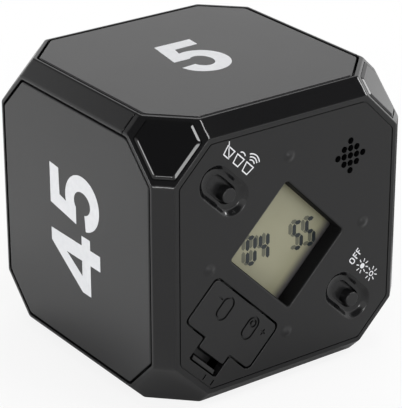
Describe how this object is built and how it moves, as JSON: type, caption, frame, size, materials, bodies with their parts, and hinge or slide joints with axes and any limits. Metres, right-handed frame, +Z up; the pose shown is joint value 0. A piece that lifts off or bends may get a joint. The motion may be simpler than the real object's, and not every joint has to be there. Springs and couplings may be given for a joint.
{
  "type": "cube timer",
  "caption": "Desk timer in a black cube with cut corners, started by turning a numbered face up; display, sounder, slide switches and battery door on the front face.",
  "frame": {"origin": "centre of the footprint on the supporting surface", "axes": "+Z up, the display face looks along -Y, +X to its right"},
  "size_m": [0.065, 0.0654, 0.065],
  "materials": {
    "housing": "semi-gloss black moulded plastic",
    "number_plate": "satin black plate with white print",
    "satin_trim": "satin black moulded plastic",
    "lens": "polished smoked lens",
    "display": "liquid crystal cell",
    "white_moulding": "white moulded plastic",
    "zebra_rubber": "striped contact rubber",
    "board": "green solder mask",
    "epoxy": "black potting epoxy",
    "lamp_epoxy": "clear lamp epoxy",
    "sleeve": "printed shrink sleeve",
    "spring_steel": "nickel-plated spring wire",
    "zinc": "zinc-plated screw",
    "wire_red": "red wire insulation",
    "wire_black": "black wire insulation",
    "tin_plate": "tinned sheet"
  },
  "bodies": {
    "timer": {"battery_box": "housing", "battery_cell_left": "sleeve", "battery_cell_right": "sleeve", "battery_wire_black": "wire_black", "battery_wire_red": "wire_red", "board_screw_1": "zinc", "board_screw_2": "zinc", "board_screw_3": "zinc", "board_screw_4": "zinc", "capacitor_1": "sleeve", "capacitor_2": "sleeve", "circuit_board": "board", "clock_crystal": "tin_plate", "contact_plate_negative": "tin_plate", "contact_plate_positive": "tin_plate", "contact_spring_inner": "spring_steel", "controller_chip": "epoxy", "display_glass": "display", "display_tray": "white_moulding", "front_shell": "housing", "led_front_bottom_right": "lamp_epoxy", "led_front_top_left": "lamp_epoxy", "led_front_top_right": "lamp_epoxy", "lens_front_bottom_right": "lens", "lens_front_top_left": "lens", "lens_front_top_right": "lens", "light_switch": "tin_plate", "plate_back": "number_plate", "plate_bottom": "number_plate", "plate_left": "number_plate", "plate_right": "number_plate", "plate_top": "number_plate", "rear_shell": "housing", "shell_screw_1": "zinc", "shell_screw_2": "zinc", "shell_screw_3": "zinc", "shell_screw_4": "zinc", "sounder": "epoxy", "tilt_switch_1": "tin_plate", "tilt_switch_2": "tin_plate", "volume_switch": "tin_plate", "zebra_strip_lower": "zebra_rubber", "zebra_strip_upper": "zebra_rubber"},
    "battery_door": {"battery_door": "satin_trim", "door_contact_plate": "tin_plate", "door_contact_spring": "spring_steel"},
    "volume_knob": {"volume_knob": "satin_trim", "volume_lever": "white_moulding"},
    "light_knob": {"light_knob": "satin_trim", "light_lever": "white_moulding"}
  },
  "joints": [
    {"name": "door_hinge", "type": "hinge", "parent": "timer", "child": "battery_door", "pos_m": [-0.01032, -0.03225, 0.02218], "axis": [-0.7071, 0, 0.7071], "range_deg": [0, 60]},
    {"name": "volume_slide", "type": "slide", "parent": "timer", "child": "volume_knob", "axis": [-0.7071, 0, 0.7071], "range_m": [0, 0.004]},
    {"name": "light_slide", "type": "slide", "parent": "timer", "child": "light_knob", "axis": [-0.7071, 0, 0.7071], "range_m": [0, 0.004]}
  ]
}
